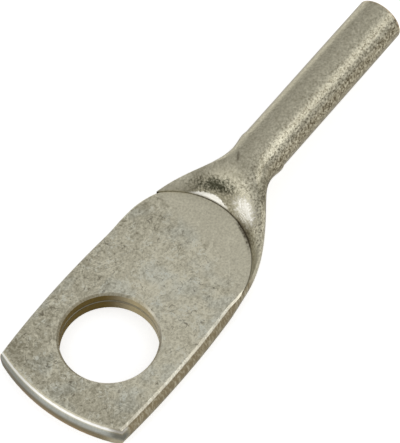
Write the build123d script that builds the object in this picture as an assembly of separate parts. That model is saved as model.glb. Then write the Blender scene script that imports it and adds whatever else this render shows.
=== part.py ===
from build123d import *
from math import atan, cos, degrees, hypot, pi, radians, sin, tan
import os

# Long-barrel cable lug pressed from copper tube: a flat palm with a stud hole,
# a pressed round-to-flat transition and a round barrel for the conductor.
# Millimetres, +Z up. The origin is on the stud hole's axis in the palm's
# underside, and the barrel runs toward +X.

# Palm
PALM_THICKNESS = 3.3
PALM_WIDTH = 21.15
WIDEST_X = 2.0
SIDE_RADIUS = 140.0
SIDE_BULGE = 2.1
SIDE_ROUNDNESS = 0.4
TIP_X = -12.05
TIP_RADIUS = 25.0
TIP_ROLL = 0.5
TIP_ROLL_DEPTH = 1.3
CREASE = 0.2
STUD_HOLE = 13.0
STUD_RIM = 0.3
SEAM_DEPTH = 0.15

# Barrel
BARREL_DIAMETER = 6.72
BARREL_WALL = 0.96
BARREL_HEIGHT = 6.47
BARREL_START_X = 33.6
BARREL_END_X = 60.0
PINCH_LENGTH = 7.0
PINCH_GAP = 0.5

# Flare between palm and barrel, in plan
FLARE_START_X = 17.1
FLARE_SHOULDER = 11.0
FLARE_END_X = 30.65
FLARE_THROAT = 2.1

# Crown line along the top: a low shoulder over the flare, then a ramp up to the barrel
SHOULDER_START_X = 11.8
SHOULDER_EASE = 2.0
SHOULDER_END_X = 21.0
SHOULDER_SETTLE = 3.0
SHOULDER_HEIGHT = 8.2
RAMP_START_X = 25.0
RAMP_EASE = 3.0
RAMP_END_X = 33.4
RAMP_RUNOUT = 5.5

# Imprint of the upper die: a round nose a little off the middle, and its sloping wall
DIE_APEX_X = 24.5
DIE_OFFSET = 0.8
DIE_WALL_ANGLE = 58.0
DIE_FOOT = 0.12
BRINK_BLEND = 3.0
BRINK_LIFT = 0.12

barrel_radius = BARREL_DIAMETER / 2
die_radius = PALM_WIDTH / 2
die_x = DIE_APEX_X - die_radius
reach = PALM_WIDTH + TIP_RADIUS
height = 2 * (BARREL_HEIGHT + BARREL_DIAMETER)


def eased(x, start, first, end, last):
    """Share of a straight taper, 0 at start to 1 at end, rounded over both ends."""
    total = end - start - first / 2 - last / 2
    if x <= start:
        return 0.0
    if x < start + first:
        return (x - start) ** 2 / (2 * first) / total
    if x < end - last:
        return (x - start - first / 2) / total
    if x < end:
        return 1 - (end - x) ** 2 / (2 * last) / total
    return 1.0


def flare(x):
    return eased(x, FLARE_START_X, FLARE_SHOULDER, FLARE_END_X, FLARE_THROAT)


def half_width(x):
    side = PALM_WIDTH / 2 - (x - WIDEST_X) ** 2 / (2 * SIDE_RADIUS)
    return side + (barrel_radius - side) * flare(x)


def flare_bottom(x):
    return -SIDE_BULGE + (BARREL_HEIGHT - barrel_radius + SIDE_BULGE) * flare(x)


def crown(x):
    """Height of the blank's top along the middle."""
    palm_top = PALM_THICKNESS + SIDE_BULGE
    barrel_top = BARREL_HEIGHT + barrel_radius
    shoulder = eased(x, SHOULDER_START_X, SHOULDER_EASE, SHOULDER_END_X, SHOULDER_SETTLE)
    ramp = eased(x, RAMP_START_X, RAMP_EASE, RAMP_END_X, RAMP_RUNOUT)
    return palm_top + (SHOULDER_HEIGHT - palm_top) * shoulder + (barrel_top - SHOULDER_HEIGHT) * ramp


def oval_arcs(half_wide, half_high):
    """Turn of the side arc and radii of the side and top arcs of a four-centred oval."""
    turn = 90 - degrees(2 * atan(SIDE_ROUNDNESS * half_high / half_wide))
    s = sin(radians(turn))
    c = cos(radians(turn))
    side_arc = (half_wide * (1 - s) - half_high * c) / (1 - s - c)
    top_arc = ((1 - c) * half_high - s * half_wide) / (1 - s - c)
    return turn, side_arc, top_arc


def oval(x, z, half_wide, half_high):
    """Face across the lug at x: four tangent arcs, a circle where width equals height."""
    turn, side_arc, top_arc = oval_arcs(half_wide, half_high)
    edges = [
        CenterArc((half_wide - side_arc, 0), side_arc, -turn, 2 * turn),
        CenterArc((0, half_high - top_arc), top_arc, turn, 180 - 2 * turn),
        CenterArc((side_arc - half_wide, 0), side_arc, 180 - turn, 2 * turn),
        CenterArc((0, top_arc - half_high), top_arc, 180 + turn, 180 - 2 * turn),
    ]
    return Plane(origin=(x, 0, z), x_dir=(0, 1, 0), z_dir=(1, 0, 0)) * make_face(edges)


def blank_section(x):
    """Section of the blank: a flat oval at the palm, a circle at the barrel."""
    top = crown(x)
    bottom = flare_bottom(x)
    return oval(x, (top + bottom) / 2, half_width(x), (top - bottom) / 2)


def imprint(x, y):
    """Height of the die behind its nose: its wall, rounded into a roof just over the blank."""
    wall = PALM_THICKNESS + (hypot(x - die_x, y - DIE_OFFSET) - die_radius) * tan(radians(DIE_WALL_ANGLE))
    top_arc = oval_arcs(half_width(x), (crown(x) - flare_bottom(x)) / 2)[2]
    roof = crown(x) + BRINK_LIFT - y**2 / (2 * top_arc)
    blend = max(BRINK_BLEND - abs(wall - roof), 0) / BRINK_BLEND
    return min(wall, roof) - blend**2 * BRINK_BLEND / 4


def side_angle(radius, side):
    """Angle about the nose's axis at which a circle of this radius leaves the flare on one side."""
    low = 0.0
    high = pi / 2
    for _ in range(30):
        middle = (low + high) / 2
        if DIE_OFFSET * side + radius * sin(middle) < half_width(die_x + radius * cos(middle)):
            low = middle
        else:
            high = middle
    return low


# Blank: flattened end, flare and barrel before the dies close
start_x = TIP_X - 6
spans = 30
stations = [start_x + i * (BARREL_START_X - start_x) / spans for i in range(spans + 1)]
blank = loft([blank_section(x) for x in stations])
barrel_plane = Plane(origin=(BARREL_START_X, 0, BARREL_HEIGHT), x_dir=(0, 1, 0), z_dir=(1, 0, 0))
blank += extrude(barrel_plane * Circle(barrel_radius), BARREL_END_X - BARREL_START_X)

# Lower die: a flat underside with a soft crease round it
lower_die = Pos(0, 0, -height / 2) * Box(8 * reach, 4 * reach, height)
blank -= lower_die
creases = [e for e in blank.edges() if e.bounding_box().max.Z < CREASE and e.length > die_radius]
creases = [e for e in creases if abs(e.center().Y) > PALM_WIDTH / 8]
blank = chamfer(creases, CREASE)

# Palm: the flattened end between the dies, with soft creases and a sheared, bowed tip
palm_end_x = DIE_APEX_X + PALM_THICKNESS / 2
gap = Pos(palm_end_x - reach, 0, PALM_THICKNESS / 2) * Box(2 * reach, 4 * reach, PALM_THICKNESS)
palm = blank & gap
creases = [e for e in palm.edges() if e.bounding_box().min.Z > PALM_THICKNESS - CREASE]
creases = [e for e in creases if abs(e.center().Y) > PALM_WIDTH / 8]
palm = chamfer(creases, CREASE)
roll_radius = (TIP_ROLL**2 + TIP_ROLL_DEPTH**2) / (2 * TIP_ROLL)
roll_z = PALM_THICKNESS - TIP_ROLL_DEPTH
half_roll = atan(TIP_ROLL / TIP_ROLL_DEPTH)
roll_r = TIP_RADIUS - roll_radius * (1 - cos(half_roll))
tip_edges = [
    Polyline(
        (TIP_RADIUS - TIP_ROLL, PALM_THICKNESS),
        (0, PALM_THICKNESS),
        (0, 0),
        (TIP_RADIUS - CREASE, 0),
        (TIP_RADIUS, CREASE),
        (TIP_RADIUS, roll_z),
    ),
    ThreePointArc(
        (TIP_RADIUS, roll_z),
        (roll_r, roll_z + roll_radius * sin(half_roll)),
        (TIP_RADIUS - TIP_ROLL, PALM_THICKNESS),
    ),
]
tip = revolve(Plane.XZ * make_face(tip_edges), Axis.Z)
tip_x = TIP_X + TIP_RADIUS
beyond = Pos(tip_x + reach, 0, 0) * Box(2 * reach, 4 * reach, 4 * height)
palm &= Pos(tip_x, 0, 0) * tip + beyond

# Upper die: its round nose and a wall rounded into the shoulders
rows = []
for i in range(25):
    radius = die_radius - 1 + i * 8 / 24
    left = 1.05 * side_angle(max(radius, die_radius), 1)
    right = 1.05 * side_angle(max(radius, die_radius), -1)
    row = []
    for j in range(31):
        angle = left - (left + right) * j / 30
        x = die_x + radius * cos(angle)
        y = DIE_OFFSET + radius * sin(angle)
        row.append(Vector(x, y, imprint(x, y)))
    rows.append(row)
wall = Face.make_surface_from_array_of_points(rows)
above = Pos(0, 0, PALM_THICKNESS + height / 2) * Box(8 * reach, 4 * reach, height)
nose = extrude(wall, height, dir=(0, 0, 1)) & above
core = Pos(die_x, DIE_OFFSET, 0) * Cylinder(die_radius + DIE_FOOT, 4 * height)
flat_x = die_x + 0.12 * die_radius
flat = Pos(flat_x - reach, 0, 0) * Box(2 * reach, 4 * reach, 4 * height)
lug = blank - (nose + core + flat) + palm

# Stud hole through both layers, the seam between them and the rounded top rim
lug -= Cylinder(STUD_HOLE / 2, 4 * height)
rim = [e for e in lug.edges() if e.geom_type == GeomType.CIRCLE and abs(e.arc_center.X) < 0.01]
lug = chamfer([e for e in rim if e.center().Z > PALM_THICKNESS / 2], STUD_RIM)
seam_z = PALM_THICKNESS / 2
groove = [(-SEAM_DEPTH, seam_z - 2 * SEAM_DEPTH), (SEAM_DEPTH, seam_z), (-SEAM_DEPTH, seam_z + 2 * SEAM_DEPTH)]
seam = Plane.XZ * make_face(Polyline(*[(STUD_HOLE / 2 + r, z) for r, z in groove], close=True))
lug -= revolve(seam, Axis.Z)

# Cable socket: a round bore that closes to a pinched slit inside the flare
bore_radius = barrel_radius - BARREL_WALL
socket = extrude(barrel_plane * Circle(bore_radius), BARREL_END_X - BARREL_START_X)
closing = []
for i in range(4):
    x = BARREL_START_X - i / 3 * PINCH_LENGTH
    share = eased(i / 3, 0, 0.4, 1, 0.4)
    half_high = bore_radius + share * (PINCH_GAP / 2 - bore_radius)
    closing.append(oval(x, (crown(x) + flare_bottom(x)) / 2, half_width(x) - BARREL_WALL, half_high))
socket += loft(closing, ruled=True)
lug -= socket
ends = lug.edges().filter_by(GeomType.CIRCLE).sort_by(Axis.X)[-2:]
lug = chamfer(ends, 0.2 * BARREL_WALL)

lug.label = "cable_lug"
os.makedirs("parts", exist_ok=True)
export_step(lug, "parts/cable_lug.step")
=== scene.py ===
"""Tinned copper cable lug lying on a pale studio floor."""

import math

import bpy
from bpy.props import FloatProperty, FloatVectorProperty, PointerProperty
from mathutils import Matrix, Vector

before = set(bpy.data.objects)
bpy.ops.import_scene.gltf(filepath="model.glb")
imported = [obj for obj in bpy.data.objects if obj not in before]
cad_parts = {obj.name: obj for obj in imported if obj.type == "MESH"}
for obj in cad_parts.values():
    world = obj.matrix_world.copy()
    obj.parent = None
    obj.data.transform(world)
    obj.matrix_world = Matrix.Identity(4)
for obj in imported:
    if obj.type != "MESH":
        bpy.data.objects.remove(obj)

bl_info = {
    "name": "Tinned Cable Lug",
    "version": (1, 0, 0),
    "blender": (4, 5, 0),
    "location": "View3D > Sidebar > Cable Lug",
    "description": "Gives a pressed cable lug its tinned finish and sets it on a studio floor",
    "category": "Object",
}

LUG = "cable_lug"
MM_PER_METRE = 1000.0

# Places on the lug, in millimetres
SEAM_HEIGHT = 1.65
TIP_CENTRE_X = 12.95

# Colours that are laid over the tin, several of them painted highlights, painted reflections and painted shade
WHITE = (1.0, 1.0, 1.0, 1.0)
COOL_TINT = (0.92, 1.0, 1.14, 1.0)
NEAR_HOLE_TINT = (0.70, 0.62, 0.46, 1.0)
SEAM_TINT = (0.14, 0.13, 0.10, 1.0)
PAINTED_TIP_REFLECTION = (0.66, 0.72, 0.86, 1.0)
PAINTED_TIP_HIGHLIGHT = (0.90, 0.89, 0.86, 1.0)
TIP_FAR_TINT = (0.70, 0.70, 0.68, 1.0)
TIP_CORNER_TINT = (0.40, 0.38, 0.34, 1.0)
PAINTED_CREASE_HIGHLIGHT = (0.72, 0.68, 0.57, 1.0)
PAINTED_FAR_FLANK_SHADE = (0.64, 0.62, 0.58, 1.0)
PAINTED_THROAT_SHADE = (0.42, 0.41, 0.37, 1.0)
PAINTED_WALL_SHADE = (0.52, 0.51, 0.48, 1.0)
PAINTED_WALL_HIGHLIGHT = (0.93, 0.91, 0.84, 1.0)
EDGE_REFLECTION = (0.72, 0.71, 0.68, 1.0)

# Softbox and camera back
KEY_WAY = (0.375, -0.715, 0.592)
KEY_AIM = (0.03, 0.0, 0.005)
KEY_DISTANCE = 0.6
KEY_SIZE = (0.34, 0.32)
SENSOR_WIDTH = 36.0


class TinFinish(bpy.types.PropertyGroup):
    """Colours and texture of the tin plating."""

    bright_tin: FloatVectorProperty(
        name="Bright tin", description="Clean tin, as on the burnished strip", subtype="COLOR",
        size=4, min=0, max=1, default=(0.820, 0.780, 0.615, 1.0))
    dull_tin: FloatVectorProperty(
        name="Dull tin", description="Oxidised tin between the bright flecks", subtype="COLOR",
        size=4, min=0, max=1, default=(0.330, 0.302, 0.215, 1.0))
    # Pit tint: dirt in pits and nicks, and painted shade at the foot of the imprint's wall
    pit_and_shade_tint: FloatVectorProperty(
        name="Pit tint", description="Dirt in pits and nicks", subtype="COLOR",
        size=4, min=0, max=1, default=(0.130, 0.110, 0.075, 1.0))
    copper: FloatVectorProperty(
        name="Copper", description="Copper showing through thin plating", subtype="COLOR",
        size=4, min=0, max=1, default=(0.520, 0.330, 0.170, 1.0))
    # Side tint: painted reflection of a dark floor on the side walls and the lower tip
    side_reflection_tint: FloatVectorProperty(
        name="Side tint", description="Darkening of the side walls and the sheared tip", subtype="COLOR",
        size=4, min=0, max=1, default=(0.36, 0.31, 0.24, 1.0))
    hole_tint: FloatVectorProperty(
        name="Hole tint", description="Gilt tint inside the stud hole", subtype="COLOR",
        size=4, min=0, max=1, default=(0.34, 0.245, 0.07, 1.0))
    # Flank tint: painted shade on the steep flanks
    flank_shade_tint: FloatVectorProperty(
        name="Flank tint", description="Darkening of the steep flanks of barrel and flare", subtype="COLOR",
        size=4, min=0, max=1, default=(0.35, 0.32, 0.27, 1.0))
    # Shade tint: painted shade, the dark patch on the imprint's wall
    shade_tint: FloatVectorProperty(
        name="Shade tint", description="Dark patch on the imprint's wall", subtype="COLOR",
        size=4, min=0, max=1, default=(0.18, 0.19, 0.165, 1.0))
    roughness: FloatProperty(
        name="Roughness", description="Roughness of clean tin", subtype="FACTOR", min=0, max=1, default=0.34)
    grain: FloatProperty(
        name="Grain", description="Height of the fine grain", unit="LENGTH", min=0, default=0.00003)
    arc_x: FloatProperty(
        name="Arc centre X", description="Centre of the imprint's arc in millimetres", default=13.925)
    arc_y: FloatProperty(
        name="Arc centre Y", description="Centre of the imprint's arc in millimetres", default=0.8)
    arc_radius: FloatProperty(
        name="Arc radius", description="Radius of the imprint's arc in millimetres", min=0, default=10.695)


class LugStage(bpy.types.PropertyGroup):
    """Camera, floor and light."""

    camera_place: FloatVectorProperty(
        name="Camera place", description="Where the camera stands", subtype="TRANSLATION", unit="LENGTH",
        default=(-0.158104, -0.137461, 0.366129))
    camera_aim: FloatVectorProperty(
        name="Camera aim", description="Point that the camera looks at", subtype="TRANSLATION", unit="LENGTH",
        default=(0.021114, 0.001275, 0.003224))
    camera_roll: FloatProperty(
        name="Camera roll", description="Turn of the camera about its own axis", subtype="ANGLE", unit="ROTATION",
        default=math.radians(-0.806))
    camera_lens: FloatProperty(
        name="Camera lens", description="Focal length in millimetres", min=1, default=264.598)
    floor_size: FloatProperty(
        name="Floor size", description="Side of the square floor", unit="LENGTH", min=0.1, default=6.0)
    floor_colour: FloatVectorProperty(
        name="Floor colour", description="Pale floor", subtype="COLOR", size=4, min=0, max=1,
        default=(0.86, 0.86, 0.86, 1.0))
    floor_glow: FloatProperty(
        name="Floor glow", description="Lift of the floor to white, as the camera and the metal see it",
        min=0, default=0.62)
    key_power: FloatProperty(
        name="Key power", description="Power of the softbox", unit="POWER", min=0, default=0.46)
    sky_level: FloatProperty(
        name="Sky level", description="Brightness overhead", min=0, default=0.62)
    room_level: FloatProperty(
        name="Room level", description="Brightness of the room near the floor", min=0, default=0.42)
    backdrop_level: FloatProperty(
        name="Backdrop level", description="Brightness of the backdrop beyond the tip", min=0, default=1.45)
    side_level: FloatProperty(
        name="Side level", description="Brightness of the room on the far side", min=0, default=0.54)
    flag_level: FloatProperty(
        name="Flag level", description="Brightness of the dark flag on the near side", min=0, default=0.32)


class Value:
    """A shader socket that takes part in Python expressions."""

    def __init__(self, sheet, socket):
        self.sheet = sheet
        self.socket = socket

    def out(self, name):
        return Value(self.sheet, self.socket.node.outputs[name])

    def maths(self, operation, first, second=0.0, clamp=False):
        return self.sheet.add("ShaderNodeMath", {"operation": operation, "use_clamp": clamp}, {0: first, 1: second})

    def __add__(self, other):
        return self.maths("ADD", self, other)

    def __radd__(self, other):
        return self.maths("ADD", other, self)

    def __sub__(self, other):
        return self.maths("SUBTRACT", self, other)

    def __rsub__(self, other):
        return self.maths("SUBTRACT", other, self)

    def __mul__(self, other):
        return self.maths("MULTIPLY", self, other)

    def __rmul__(self, other):
        return self.maths("MULTIPLY", other, self)

    def __truediv__(self, other):
        return self.maths("DIVIDE", self, other)

    def __rtruediv__(self, other):
        return self.maths("DIVIDE", other, self)

    def __pow__(self, other):
        return self.maths("POWER", self, other)

    def __abs__(self):
        return self.maths("ABSOLUTE", self)

    def most(self, other):
        return self.maths("MAXIMUM", self, other)

    def clamped(self):
        return self.maths("ADD", self, 0.0, True)

    def step(self, low, high):
        """0 below low, 1 above high, smooth between; reversed where low is above high."""
        return self.sheet.add(
            "ShaderNodeMapRange", {"interpolation_type": "SMOOTHSTEP"},
            {"Value": self, "From Min": low, "From Max": high})

    def band(self, start, full, last, end):
        """1 from full to last, fading to 0 at start and end."""
        return self.step(start, full) * self.step(end, last)


class Sheet:
    """A node tree that is filled from Python expressions."""

    def __init__(self, tree):
        self.tree = tree
        tree.nodes.clear()

    def add(self, kind, settings=None, inputs=None, output=0):
        """One node: its settings first, then the values or links of its sockets."""
        node = self.tree.nodes.new(kind)
        for name, value in (settings or {}).items():
            setattr(node, name, value)
        for name, value in (inputs or {}).items():
            if isinstance(value, Value):
                self.tree.links.new(value.socket, node.inputs[name])
            else:
                node.inputs[name].default_value = value
        return Value(self, node.outputs[output]) if len(node.outputs) else node

    def blend(self, factor, first, second, mode="MIX"):
        """Colour first where factor is 0, second where it is 1."""
        return self.add(
            "ShaderNodeMix", {"data_type": "RGBA", "blend_type": mode}, {0: factor, 6: first, 7: second}, 2)

    def tint(self, factor, colour, by):
        """Colour multiplied by another where factor is 1."""
        return self.blend(factor, colour, by, "MULTIPLY")

    def scale(self, vector, size):
        return self.add("ShaderNodeVectorMath", {"operation": "MULTIPLY"}, {0: vector, 1: size})

    def shift(self, vector, by):
        return self.add("ShaderNodeVectorMath", {"operation": "ADD"}, {0: vector, 1: by})

    def turn(self, vector, angle):
        return self.add(
            "ShaderNodeVectorRotate", {"rotation_type": "Z_AXIS"}, {"Vector": vector, "Angle": math.radians(angle)})

    def noise(self, vector, scale, detail=2.0, rough=0.5, start=None):
        """Noise from 0 to 1, moved by start so that no two are alike."""
        place = self.shift(vector, start) if start else vector
        return self.add(
            "ShaderNodeTexNoise", {}, {"Vector": place, "Scale": scale, "Detail": detail, "Roughness": rough})

    def ripple(self, *place, **details):
        """Noise that swings about 0."""
        return self.noise(*place, **details) - 0.5

    def cells(self, vector, scale):
        return self.add("ShaderNodeTexVoronoi", {}, {"Vector": vector, "Scale": scale})


def spread(u, v, centre, radii=(1.0, 1.0)):
    """Squared distance from a centre, with each radius as the unit along its own axis."""
    return ((u - centre[0]) / radii[0]) ** 2 + ((v - centre[1]) / radii[1]) ** 2


def tinned_copper(finish):
    """Dull tin plating: burnished by the die near the barrel, mottled and scratched on the palm."""
    material = bpy.data.materials.new("tinned_copper")
    material.use_nodes = True
    sheet = Sheet(material.node_tree)
    mm = sheet.scale(sheet.add("ShaderNodeTexCoord", output="Object"), (MM_PER_METRE,) * 3)
    parts = sheet.add("ShaderNodeSeparateXYZ", {}, {0: mm})
    x, y, z = parts.out("X"), parts.out("Y"), parts.out("Z")
    facing = sheet.add("ShaderNodeSeparateXYZ", {}, {0: sheet.add("ShaderNodeNewGeometry", output="Normal")})
    up = facing.out("Z")
    steep = abs(up).step(0.85, 0.45)

    # Noises, from coarse to fine
    cloud = sheet.ripple(mm, 0.16, start=(11.0, 4.0, 2.0))
    patchy = sheet.ripple(mm, 0.30)
    blotch = sheet.ripple(mm, 0.75, 4.0, 0.65)
    fleck = sheet.ripple(mm, 1.9, 4.0, 0.7, start=(3.0, 8.0, 5.0))
    grain = sheet.ripple(mm, 3.3, 2.0, 0.65)
    ragged = 0.7 * fleck + 0.9 * grain

    # Palm: burnished by the die near the imprint, worn elsewhere; stud hole, tip, side walls and their crease
    flat = z.band(2.4, 3.1, 3.34, 3.48) * (1 - steep)
    burnished = flat * (x - 0.30 * y + 9.0 * patchy).step(16.5, 20.5)
    worn = flat * (1 - burnished)
    hole = (spread(x, y, (0.0, 0.0)) ** 0.5).step(6.95, 6.6) * steep
    gilt = hole * y.step(0.5, 4.8)
    tip = steep * x.step(-8.5, -9.6)
    # Painted highlight along the tip's rounded top edge
    brink_highlight = flat * (spread(x, y, (TIP_CENTRE_X, 0.0)) ** 0.5).step(23.8, 24.5) * x.step(0.0, -5.0)
    elsewhere = (1 - hole) * (1 - tip)
    sides = steep * elsewhere * x.step(19.0, 17.0)
    crease = elsewhere * up.band(0.35, 0.55, 0.85, 0.96) * z.step(3.05, 3.12)
    crease = crease * x.step(17.0, 14.0) * y.step(0.0, -2.0)

    # Flare and barrel: the imprint's wall, flanks and throat, where shade and reflections are painted, and the two
    # ends of the bright streak: painted shade where it stops and a painted highlight on the barrel
    behind = x.step(17.0, 19.0)
    far_side = y.step(0.0, 2.0)
    barrel = x.step(26.5, 30.5)
    raised = x.step(19.0, 24.0) * (1 - flat)
    speckled = raised * y.step(0.2, -2.0)
    from_arc = spread(x, y, (finish.arc_x, finish.arc_y)) ** 0.5 - finish.arc_radius
    wall = facing.out("X").step(-0.35, -0.60) * behind * z.step(3.30, 3.40)
    flank = up.step(0.80, 0.40) * behind * (1 - wall) * (0.34 + 0.66 * x.step(28.0, 31.0).most(far_side))
    far_flank = flank * y.step(1.0, 3.0) * up.step(0.55, 0.15)
    far_shoulder = (1 - flat) * x.band(17.0, 19.0, 25.0, 27.0) * y.step(4.5, 6.5)
    throat = x.band(25.5, 27.5, 29.5, 32.5) * y.step(-2.6, -3.6) * (1 - wall)
    # Painted shade where the bright streak stops on the shoulder
    streak_end_shade = spread(x, y, (29.6, -1.9), (1.2, 0.8)).step(1.4, 0.2) * raised
    # Painted highlight on the barrel beyond the shoulder
    glow = spread(x, y, (34.0, -2.0), (2.4, 1.3)).step(1.4, 0.1) * (1 - flat)

    # Scratches and nicks: bright hairlines, a pale web, darker curved marks and pits
    hair = 0.0
    for angle, width in ((24.0, 0.035), (-38.0, 0.03), (71.0, 0.03)):
        along = sheet.scale(sheet.turn(mm, angle), (0.22, 1.7, 1.0))
        line = abs(sheet.ripple(along, 0.9, 1.0)).step(width, 0.0)
        hair = line * sheet.noise(along, 0.55, start=(angle, 3.0, 0.0)).step(0.53, 0.66) + hair
    web = abs(sheet.ripple(mm, 0.8, 3.0, 0.6, start=(8.0, 2.0, 4.0))).step(0.030, 0.004)
    web = web * sheet.noise(mm, 0.7, start=(4.0, 7.0, 3.0)).step(0.48, 0.60)
    marks = abs(sheet.ripple(mm, 0.62, start=(2.0, 9.0, 0.0))).step(0.022, 0.004)
    marks = marks * sheet.noise(mm, 0.85, start=(5.0, 1.0, 7.0)).step(0.55, 0.64)
    pits = sheet.cells(mm, 1.3).step(0.20, 0.08)
    pits = pits * sheet.noise(mm, 0.6, start=(7.0, 3.0, 1.0)).step(0.52, 0.62)
    scratched = worn + 0.25 * burnished + 0.3 * barrel

    # Tone of the tin, from dull to bright
    # Painted highlights lift the tone on the tip's brink, on the barrel and on the top of the wall's near part
    tone = 0.39 + 0.33 * worn + 0.30 * burnished + 0.28 * brink_highlight + 0.22 * glow + 0.20 * far_shoulder
    tone = tone + 0.16 * wall * y.step(-0.8, -2.2) * z.step(5.4, 6.4) - 0.05 * barrel * y.step(-1.2, 0.2)
    tone = tone + 0.5 * cloud * worn + blotch * (0.2 + 0.7 * worn)
    tone = tone + fleck * (0.35 + 1.3 * worn + 1.0 * speckled)
    tone = tone + grain * (0.45 + 0.9 * worn + 0.6 * burnished + 0.8 * raised + 1.5 * speckled)
    tone = tone - 0.22 * worn * y.step(2.0, 9.0) - 0.30 * worn * x.step(-1.0, -10.0)
    tone = tone + 0.45 * hair * scratched + 0.45 * web * worn
    colour = sheet.blend(tone.clamped(), tuple(finish.dull_tin), tuple(finish.bright_tin))

    # Cool areas and dark specks
    cool = worn * sheet.noise(mm, 0.28, 3.0, start=(1.0, 6.0, 9.0)).step(0.48, 0.66)
    specks = grain.step(-0.02, -0.13) * raised * (y + 2.2 * x.step(33.0, 30.0)).step(-1.0, -2.2)
    colour = sheet.tint(0.4 * cool + 0.5 * web * worn, colour, COOL_TINT)
    colour = sheet.blend((0.6 * marks + 0.6 * pits) * worn + 0.38 * specks, colour, tuple(finish.pit_and_shade_tint))

    # Brown side walls with fine strokes across them, the brown a painted reflection of a dark floor, and a gilt
    # stud hole with its seam
    strokes = sheet.ripple(sheet.scale(mm, (3.2, 3.2, 0.7)), 1.0, 3.0, 0.6)
    colour = sheet.tint(sides * (0.90 + 2.2 * strokes), colour, tuple(finish.side_reflection_tint))
    colour = sheet.tint(gilt, colour, tuple(finish.hole_tint))
    colour = sheet.tint(hole * y.step(4.8, 0.5), colour, NEAR_HOLE_TINT)
    colour = sheet.tint(hole * abs(z - SEAM_HEIGHT).step(0.32, 0.12), colour, SEAM_TINT)

    # Sheared tip: brown below and bluish in the middle, both painted reflections, a painted highlight along its
    # roll and a dark near corner
    near_end = y.step(-7.0, -9.0)
    colour = sheet.tint(tip * z.step(2.0, 1.2) * (1 - 0.5 * near_end), colour, tuple(finish.side_reflection_tint))
    colour = sheet.tint(tip * z.band(1.0, 1.8, 2.50, 2.80), colour, PAINTED_TIP_REFLECTION)
    colour = sheet.blend(tip * z.band(2.72, 2.86, 3.02, 3.16), colour, PAINTED_TIP_HIGHLIGHT)
    colour = sheet.tint(tip * y.step(1.0, 6.0), colour, TIP_FAR_TINT)
    colour = sheet.tint(tip * y.step(-7.6, -9.2) * z.step(1.0, 2.0), colour, TIP_CORNER_TINT)
    # Pale line along the palm's near crease: painted highlight
    colour = sheet.blend(crease * (0.7 + 1.5 * blotch), colour, PAINTED_CREASE_HIGHLIGHT)

    # Painted shade on the flanks and the throat, and copper showing at the barrel's end and the tip's foot
    edge_on = up.step(0.5, 0.2)
    darkened = 0.80 - 0.18 * far_side + 0.4 * far_side * edge_on - 1.4 * grain - 0.9 * fleck
    colour = sheet.tint(flank * darkened, colour, tuple(finish.flank_shade_tint))
    colour = sheet.tint(far_flank, colour, PAINTED_FAR_FLANK_SHADE)
    colour = sheet.tint((throat + 0.6 * streak_end_shade) * (0.65 - 1.2 * grain), colour, PAINTED_THROAT_SHADE)
    rim = x.step(59.55, 59.8) + steep * x.step(-11.0, -11.6) * z.step(0.9, 0.3)
    colour = sheet.blend(0.35 * rim, colour, tuple(finish.copper))

    # Wall of the imprint, with painted reflections: a bright strip at its foot, a dark patch over that and a bright
    # one to the near side, and painted shade on the rest of the wall
    strip_top = 4.45 - 0.26 * ((y - 1.9) ** 2 + 0.6) ** 0.5
    strip = (strip_top - z + 0.6 * ragged).step(-0.12, 0.14) * y.band(-1.2, 0.6, 4.2, 5.6)
    patch = (spread(y, z, (-3.1, 5.05), (2.0, 1.2)) ** 0.5 + 2.0 * ragged).step(1.25, 0.4)
    shade = (spread(y, z + 0.25 * y, (2.0, 6.0), (3.3, 1.15)) ** 0.5 + 1.9 * ragged).step(1.30, 0.05)
    # The rest of the wall is darkened with painted shade
    plain = (0.80 - 1.0 * ragged) * (1 - strip) * (1 - patch)
    plain = plain * y.band(-6.2, -4.8, 4.8, 6.5) * (0.2 + 0.8 * z.step(6.8, 5.4))
    colour = sheet.tint(wall * plain, colour, PAINTED_WALL_SHADE)
    colour = sheet.tint(wall * shade * (1 - strip), colour, tuple(finish.shade_tint))
    colour = sheet.blend(wall * strip.most(0.9 * patch), colour, PAINTED_WALL_HIGHLIGHT)

    # A nick on the shoulder, and painted shade in the corner at the foot of the imprint's wall
    along, across = 0.84 * (x - 29.3) + 0.54 * (y - 1.15), 0.84 * (y - 1.15) - 0.54 * (x - 29.3)
    nick = spread(along, across, (0.0, 0.0), (0.75, 0.2)).step(1.5, 0.3) * raised
    colour = sheet.blend(0.6 * nick, colour, tuple(finish.pit_and_shade_tint))
    foot = from_arc.band(-0.12, -0.02, 0.02, 0.10) * y.step(6.0, 3.0)
    corner = from_arc.band(-0.55, -0.25, 0.10, 0.60) * y.band(-7.4, -5.4, -3.4, -2.2)
    painted_foot_shade = (corner * (0.70 + 3.6 * fleck) + 0.6 * foot) * x.step(12.0, 19.0)
    colour = sheet.blend(painted_foot_shade.clamped(), colour, tuple(finish.pit_and_shade_tint))

    rough = finish.roughness + 0.07 * worn + 0.10 * (1 - tone) * worn - 0.02 * raised + 0.4 * grain * speckled
    rough = rough + 0.2 * throat - 0.08 * crease + 0.3 * gilt
    relief = grain * (0.35 + 0.8 * worn + 0.4 * raised + 2.0 * speckled)
    relief = relief + fleck * (0.3 + 1.2 * worn + 0.5 * raised + 1.4 * speckled) + blotch * 1.2 * worn
    relief = relief - 0.5 * (marks + pits) * worn - 0.12 * hair * scratched
    bump = sheet.add("ShaderNodeBump", {}, {"Strength": 0.6, "Distance": finish.grain, "Height": relief})
    skin = sheet.add(
        "ShaderNodeBsdfPrincipled", {},
        {"Base Color": colour, "Metallic": 1 - 0.85 * gilt, "Roughness": rough, "Normal": bump,
         "Specular IOR Level": 0.1, "Specular Tint": EDGE_REFLECTION})
    sheet.add("ShaderNodeOutputMaterial", {}, {"Surface": skin})
    return material


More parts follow.
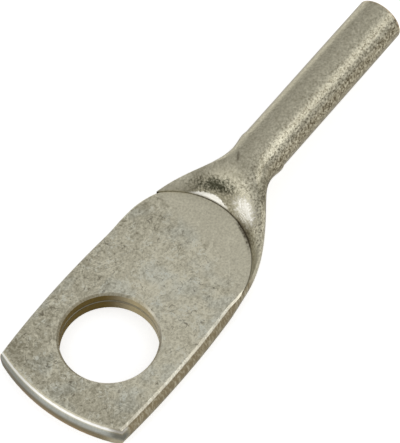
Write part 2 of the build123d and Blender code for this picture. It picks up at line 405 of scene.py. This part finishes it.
def floor_finish(stage):
    """Matt pale floor that looks white to the camera and to the metal, and keeps the shadow."""
    material = bpy.data.materials.new("pale_floor")
    material.use_nodes = True
    sheet = Sheet(material.node_tree)
    path = sheet.add("ShaderNodeLightPath", output="Is Camera Ray")
    seen = path.most(path.out("Is Glossy Ray")).most(path.out("Is Transmission Ray"))
    matt = sheet.add("ShaderNodeBsdfDiffuse", {}, {"Color": tuple(stage.floor_colour)})
    glow = sheet.add("ShaderNodeEmission", {}, {"Color": WHITE, "Strength": stage.floor_glow})
    lifted = sheet.add("ShaderNodeAddShader", {}, {0: matt, 1: glow})
    surface = sheet.add("ShaderNodeMixShader", {}, {0: seen, 1: matt, 2: lifted})
    sheet.add("ShaderNodeOutputMaterial", {}, {"Surface": surface})
    return material


def studio_world(stage):
    """A grey room, paler overhead, with a white backdrop beyond the tip and a dark flag on the near side."""
    world = bpy.data.worlds.new("studio")
    world.use_nodes = True
    sheet = Sheet(world.node_tree)
    place = sheet.add("ShaderNodeTexCoord", output="Generated")
    up = sheet.add("ShaderNodeSeparateXYZ", {}, {0: place}).out("Z")

    def toward(azimuth, elevation, inner, outer):
        """1 within the inner angle of a direction, 0 beyond the outer one, all in degrees."""
        a, e = math.radians(azimuth), math.radians(elevation)
        way = (math.cos(e) * math.cos(a), math.cos(e) * math.sin(a), math.sin(e))
        near = sheet.add("ShaderNodeVectorMath", {"operation": "DOT_PRODUCT"}, {0: place, 1: way}, "Value")
        return near.step(math.cos(math.radians(outer)), math.cos(math.radians(inner)))

    level = stage.room_level + (stage.sky_level - stage.room_level) * up.step(0.10, 0.75)
    for local_level, share in (
        (stage.backdrop_level, toward(150.0, 4.0, 22.0, 48.0) * up.step(0.45, 0.25)),
        (stage.side_level, toward(75.0, 4.0, 20.0, 60.0)),
        (stage.flag_level, toward(300.0, 8.0, 20.0, 45.0)),
    ):
        level = level + (local_level - level) * share
    light = sheet.add("ShaderNodeBackground", {}, {"Color": WHITE, "Strength": level})
    sheet.add("ShaderNodeOutputWorld", {}, {"Surface": light})
    return world


class LUG_OT_finish(bpy.types.Operator):
    """Give the cable lug its tinned finish"""

    bl_idname = "lug.finish"
    bl_label = "Finish Cable Lug"
    bl_options = {"REGISTER", "UNDO"}

    def execute(self, context):
        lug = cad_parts.get(LUG)
        if lug is None:
            raise RuntimeError("The frame has no cable lug")
        material = tinned_copper(context.scene.tin_finish)
        for place in lug.material_slots:
            place.material = material
        return {"FINISHED"}


class LUG_OT_stage(bpy.types.Operator):
    """Set up the floor, the light and the camera"""

    bl_idname = "lug.stage"
    bl_label = "Set Up Stage"
    bl_options = {"REGISTER", "UNDO"}

    def lay_floor(self, context, stage):
        half = stage.floor_size / 2
        sheet = bpy.data.meshes.new("floor")
        sheet.from_pydata(
            [(-half, -half, 0.0), (half, -half, 0.0), (half, half, 0.0), (-half, half, 0.0)], [], [(0, 1, 2, 3)])
        sheet.materials.append(floor_finish(stage))
        floor = bpy.data.objects.new("floor", sheet)
        context.collection.objects.link(floor)

    def hang_softbox(self, context, stage):
        lamp = bpy.data.lights.new("key", "AREA")
        lamp.shape = "RECTANGLE"
        lamp.size, lamp.size_y = KEY_SIZE
        lamp.energy = stage.key_power
        box = bpy.data.objects.new("key", lamp)
        context.collection.objects.link(box)
        aim = Vector(KEY_AIM)
        box.location = aim + KEY_DISTANCE * Vector(KEY_WAY).normalized()
        box.rotation_euler = (aim - box.location).to_track_quat("-Z", "Y").to_euler()

    def place_camera(self, context, stage):
        lens = bpy.data.cameras.new("camera")
        lens.lens = stage.camera_lens
        lens.sensor_width = SENSOR_WIDTH
        camera = bpy.data.objects.new("camera", lens)
        context.collection.objects.link(camera)
        place = Vector(stage.camera_place)
        look = (Vector(stage.camera_aim) - place).to_track_quat("-Z", "Y").to_matrix().to_4x4()
        camera.matrix_world = Matrix.Translation(place) @ look @ Matrix.Rotation(stage.camera_roll, 4, "Z")
        bpy.context.scene.camera = camera

    def execute(self, context):
        stage = context.scene.lug_stage
        context.scene.view_settings.view_transform = "Standard"
        context.scene.world = studio_world(stage)
        self.lay_floor(context, stage)
        self.hang_softbox(context, stage)
        self.place_camera(context, stage)
        return {"FINISHED"}


class LUG_PT_panel(bpy.types.Panel):
    """Cable lug tools in the sidebar"""

    bl_idname = "LUG_PT_panel"
    bl_label = "Cable Lug"
    bl_space_type = "VIEW_3D"
    bl_region_type = "UI"
    bl_category = "Cable Lug"

    def draw(self, context):
        layout = self.layout
        for group, operator in ((context.scene.tin_finish, "lug.finish"), (context.scene.lug_stage, "lug.stage")):
            for name in group.__annotations__:
                layout.prop(group, name)
            layout.operator(operator)


CLASSES = (TinFinish, LugStage, LUG_OT_finish, LUG_OT_stage, LUG_PT_panel)


def register():
    for item in CLASSES:
        bpy.utils.register_class(item)
    bpy.types.Scene.tin_finish = PointerProperty(type=TinFinish)
    bpy.types.Scene.lug_stage = PointerProperty(type=LugStage)


def unregister():
    del bpy.types.Scene.lug_stage
    del bpy.types.Scene.tin_finish
    for item in reversed(CLASSES):
        bpy.utils.unregister_class(item)


def main():
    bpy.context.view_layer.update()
    register()
    bpy.ops.lug.finish()
    bpy.ops.lug.stage()


if __name__ == "__main__":
    main()
